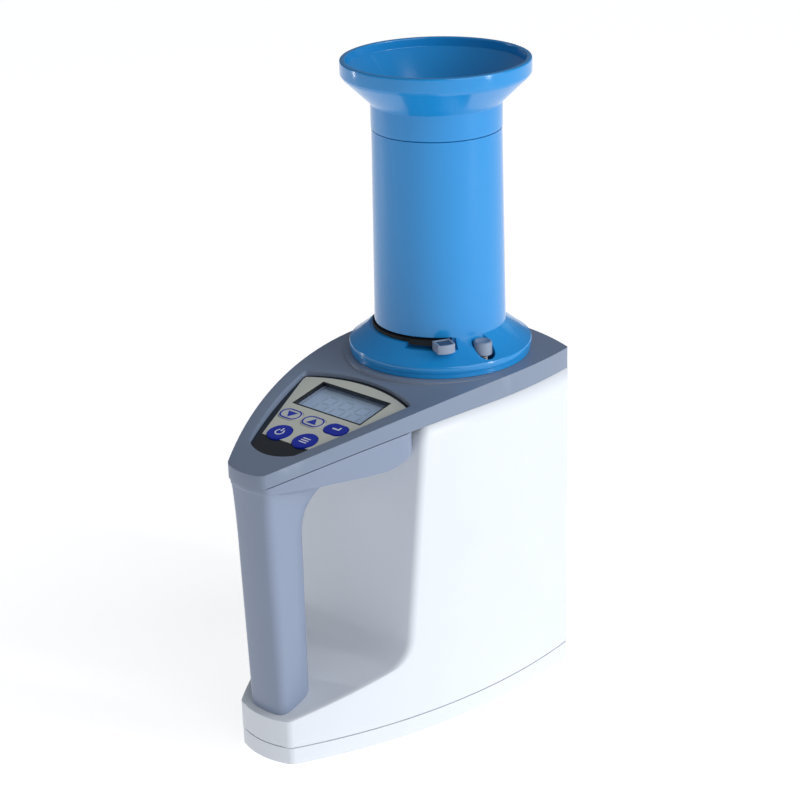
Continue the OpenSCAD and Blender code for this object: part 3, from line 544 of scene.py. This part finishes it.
def digit(cx, cy):
    """The seven bars of one numeral, leaning slightly as on real displays."""
    w, h, s = DIGIT_W / 2, DIGIT_H / 2, STROKE / 2
    end_x, end_y = w - s, h / 2 - s
    across = [(-end_x, 0), (s - end_x, s), (end_x - s, s), (end_x, 0), (end_x - s, -s), (s - end_x, -s)]
    upright = [(0, -end_y), (s, s - end_y), (s, end_y - s), (0, end_y), (-s, end_y - s), (-s, s - end_y)]
    shapes = [[(x, y + dy) for x, y in across] for dy in (h, 0, -h)]
    shapes += [[(x + dx, y + dy) for x, y in upright] for dy in (h / 2, -h / 2) for dx in (-w, w)]
    return [[(cx + x + LEAN * y, cy + y) for x, y in shape] for shape in shapes]


def window_line(half_w, half_h):
    """Corners of a rectangle round the middle of the window."""
    return [(sx * half_w, LCD_Y + sy * half_h) for sx, sy in ((-1, -1), (1, -1), (1, 1), (-1, 1))]


ghosts = [shape for x in (-13.5, -0.5, 12.5) for shape in digit(x, LCD_Y - 0.3)]
flat_piece("lcd_segments", ghosts, LCD_FACE, lcd_ghost, "root", 0.05)
WINDOW_HALF_W, WINDOW_HALF_H, LINE_W = 26.0, 12.25, 1.1
line_outer = window_line(WINDOW_HALF_W + LINE_W, WINDOW_HALF_H + LINE_W)
line_inner = window_line(WINDOW_HALF_W, WINDOW_HALF_H)
flat_piece("window_frame", band(line_outer, line_inner), -0.38, black_gloss, "root", 0.3)

# ---- Electronics, cell and batteries -------------------------------------------
# Inside the case: printed boards, the turned aluminium cup and centre electrode of
# the measuring cell on a nylon base, and four AA cells in a moulded case.

solder_mask = moulded_plastic("green solder mask, semi-gloss", "#1f6b3c", "#1a6036", 0.3, 1.5, 0.004)
black_plastic = moulded_plastic("black ABS, moulded", "#232427", "#1c1d20", 0.5, 0.5, 0.01, "#5a5c60")
nylon = moulded_plastic("cream nylon, machined", "#e3ddc8", "#dad3bd", 0.45, 0.6, 0.01)
bracket_grey = moulded_plastic("dark grey ABS, moulded", "#5a5f66", "#52575e", 0.5, 0.5, 0.01)
sleeve = moulded_plastic("copper-coloured battery sleeve", "#c98a35", "#b97c2c", 0.25, 1.0, 0.002)
for node in ("panel_board", "main_board", "cell_board"):
    dress(node, solder_mask)
for node in ("key_switches", "board_components", "battery_case"):
    dress(node, black_plastic)
dress("cell_base", nylon)
dress("cell_bracket", bracket_grey)
dress("battery_cells", sleeve)


def metal(name, colour, shade, roughness, scratch_mm, stretch, depth):
    """Bare metal with fine tool or drawing marks that run one way, and a slight tarnish in the colour."""
    material = empty_material(name)
    place = add(material, "ShaderNodeTexCoord").outputs["Object"]
    line = add(material, "ShaderNodeMapping", {"Vector": place}, Scale=stretch)
    marks = speckle(material, line.outputs["Vector"], scratch_mm, 3.0)
    cloud = speckle(material, place, 20, 2.0)
    mixed = two_tone(material, cloud.outputs["Fac"], colour, shade)
    gloss = add(material, "ShaderNodeMapRange", {"Value": marks.outputs["Fac"]},
                To_Min=roughness - 0.06, To_Max=roughness + 0.08)
    bump = add(material, "ShaderNodeBump", {"Height": marks.outputs["Fac"]},
               Strength=1.0, Distance=depth * MM)
    links = {"Base Color": mixed, "Roughness": gloss.outputs["Result"], "Normal": bump.outputs["Normal"]}
    bare = add(material, "ShaderNodeBsdfPrincipled", links, Metallic=1.0)
    add(material, "ShaderNodeOutputMaterial", {"Surface": bare.outputs["BSDF"]})
    return material


turned_aluminium = metal("aluminium, turned", "#d2d4d8", "#c6c9ce", 0.3, 0.4, (0.05, 0.05, 1.0), 0.004)
zinc_steel = metal("steel, zinc plated", "#c4c7cb", "#b4b8be", 0.32, 0.5, (1.0, 1.0, 1.0), 0.002)
spring_wire = metal("spring steel wire, drawn", "#8f9296", "#7f8287", 0.35, 0.3, (1.0, 1.0, 1.0), 0.002)
for node in ("cell_cup", "cell_electrode"):
    dress(node, turned_aluminium)
for node in ("deck_screws", "base_screws", "bracket_screws", "handle_screw", "panel_screws"):
    dress(node, zinc_steel)
for node in ("temperature_probe", "battery_contacts", "pivot_pin"):
    dress(node, zinc_steel)
for node in ("shutter_spring", "button_spring"):
    dress(node, spring_wire)
# painted shade: the plate is painted near black so the slot and notch read as deep shadow; with the metal
# hidden it takes the same recipe as the plastics
shutter_painted_shade = moulded_plastic("steel sheet, painted near black as slot shade", "#08090a", "#0c0d0e", 0.8, 0.3, 0.002, "#101113")
dress("shutter_plate", shutter_painted_shade)

# ---- Loading tube and funnel ----------------------------------------------------
# Gloss blue ABS: the tube with its broad foot stands loose on the deck, and the
# funnel's spigot is pushed into the top of the tube.

blue_abs = moulded_plastic("blue ABS, gloss moulded", "#1f8fd6", "#1b89d0", 0.14, 0.8, 0.0012, "#7cc4f5")
softened("drop_tube", "tube_moulding", 0.5, blue_abs, "loader", degrees=35,
         cuts=(211.5, 230.4, 231.6, 343.5))

AXIS_Y = 52.5


def lathe(name, profile, steps=160):
    """Turns a closed profile of (radius, height) points round the tube's axis."""
    mesh = bmesh.new()
    rings = []
    for r, z in profile:
        turn = [(r * math.cos(a), r * math.sin(a)) for a in (2 * math.pi * i / steps for i in range(steps))]
        rings.append([mesh.verts.new((x * MM, (AXIS_Y + y) * MM, z * MM)) for x, y in turn])
    for low, high in zip(rings, rings[1:] + rings[:1]):
        for i in range(steps):
            mesh.faces.new((low[i], low[(i + 1) % steps], high[(i + 1) % steps], high[i]))
    bmesh.ops.recalc_face_normals(mesh, faces=mesh.faces)
    return piece_from(name, mesh)


def rounded(profile, radii, steps=5):
    """Replaces each corner of a closed profile with an arc of its own radius."""
    out = []
    count = len(profile)
    for i, radius in enumerate(radii):
        p, before, after = Vector(profile[i]), Vector(profile[i - 1]), Vector(profile[(i + 1) % count])
        if radius == 0:
            out.append(tuple(p))
            continue
        a, b = (before - p).normalized(), (after - p).normalized()
        half = a.angle(b) / 2
        cut = min(radius / math.tan(half), (before - p).length * 0.48, (after - p).length * 0.48)
        start, stop = p + a * cut, p + b * cut
        for k in range(steps + 1):
            t = k / steps
            out.append(tuple((1 - t) ** 2 * start + 2 * t * (1 - t) * p + t * t * stop))
    return out


TUBE_TOP, SOCKET_R, BORE_R, COLLAR_R, RIM_R, RIM_IN = 345.0, 36.5, 33.8, 38.1, 55.0, 51.7
SPIGOT_R, SPIGOT_H = SOCKET_R - 0.5, 7.4
collar_low, collar_top = TUBE_TOP + 0.3, TUBE_TOP + 15.4
cone_top, rim_top = TUBE_TOP + 31.2, TUBE_TOP + 40.5
# radius, height and how round the corner is, up the outside and down the inside
funnel_corners = [
    (BORE_R, collar_low - SPIGOT_H, 0.4), (SPIGOT_R, collar_low - SPIGOT_H, 0.4), (SPIGOT_R, collar_low, 0),
    (COLLAR_R, collar_low, 1.3), (COLLAR_R, collar_top, 1.6),
    (RIM_R - 1.2, cone_top - 0.6, 1.2), (RIM_R, cone_top + 1.2, 1.2), (RIM_R, rim_top, 1.1),
    (RIM_IN, rim_top, 0.9), (RIM_IN, cone_top + 4, 0.5), (RIM_IN - 1.2, cone_top + 3.2, 0.6),
    (BORE_R, collar_top + 1.4, 2.5)]
funnel_profile = [(r, z) for r, z, _ in funnel_corners]
funnel = lathe("funnel_moulding", rounded(funnel_profile, [bend for _, _, bend in funnel_corners]))
smooth_by_angle(funnel, 40)
funnel.data.materials.append(blue_abs)
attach(funnel, "funnel")
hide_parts("funnel")

# ---- Shutter grip and release button --------------------------------------------
# Small grey mouldings: the shutter's grip with a pale rim round a sunk pad coloured as painted
# shade, and the push button with its dished top.

grip_grey = moulded_plastic("slate ABS, satin moulded grip", "#8d9bb2", "#8795ac", 0.4, 0.4, 0.006,
                            "#c9d2df")
button_grey = moulded_plastic("grey-blue ABS, satin moulded button", "#8797ae", "#7e8ea6", 0.35, 0.4, 0.006,
                              "#c3cddb")
softened("shutter_grip", "grip_moulding", 0.5, grip_grey, "shutter", segments=3)
GRIP_ROOT_X, GRIP_ROOT_Y, GRIP_TURN = 24.5, AXIS_Y - 29.3, math.radians(-27)
GRIP = Matrix.Translation((GRIP_ROOT_X * MM, GRIP_ROOT_Y * MM, 0)) @ Matrix.Rotation(GRIP_TURN, 4, "Z")
PAD_BACK, PAD_HALF, NOSE_CENTRE, PAD_NOSE_R = 5.6, 3.9, 5.6, 8.0
nose_arc = [math.asin(PAD_HALF / PAD_NOSE_R) * (i / 6 - 1) for i in range(13)]
pad = [(NOSE_CENTRE + PAD_NOSE_R * math.cos(a), PAD_NOSE_R * math.sin(a)) for a in nose_arc]
pad = [(PAD_BACK, -PAD_HALF)] + pad + [(PAD_BACK, PAD_HALF)]
# painted shade: the sunk pad takes a darker copy of the grip's grey
grip_recess_painted_shade = moulded_plastic("grip recess, painted shade, satin", "#3d5270", "#394e6b", 0.5, 0.4, 0.004,
                             "#54698a")
PAD_Z = 228.9
flat_piece("grip_pad", [pad], PAD_Z, grip_recess_painted_shade, "shutter", 0.25, GRIP)
softened("release_button", "button_moulding", 0.35, button_grey, "button")
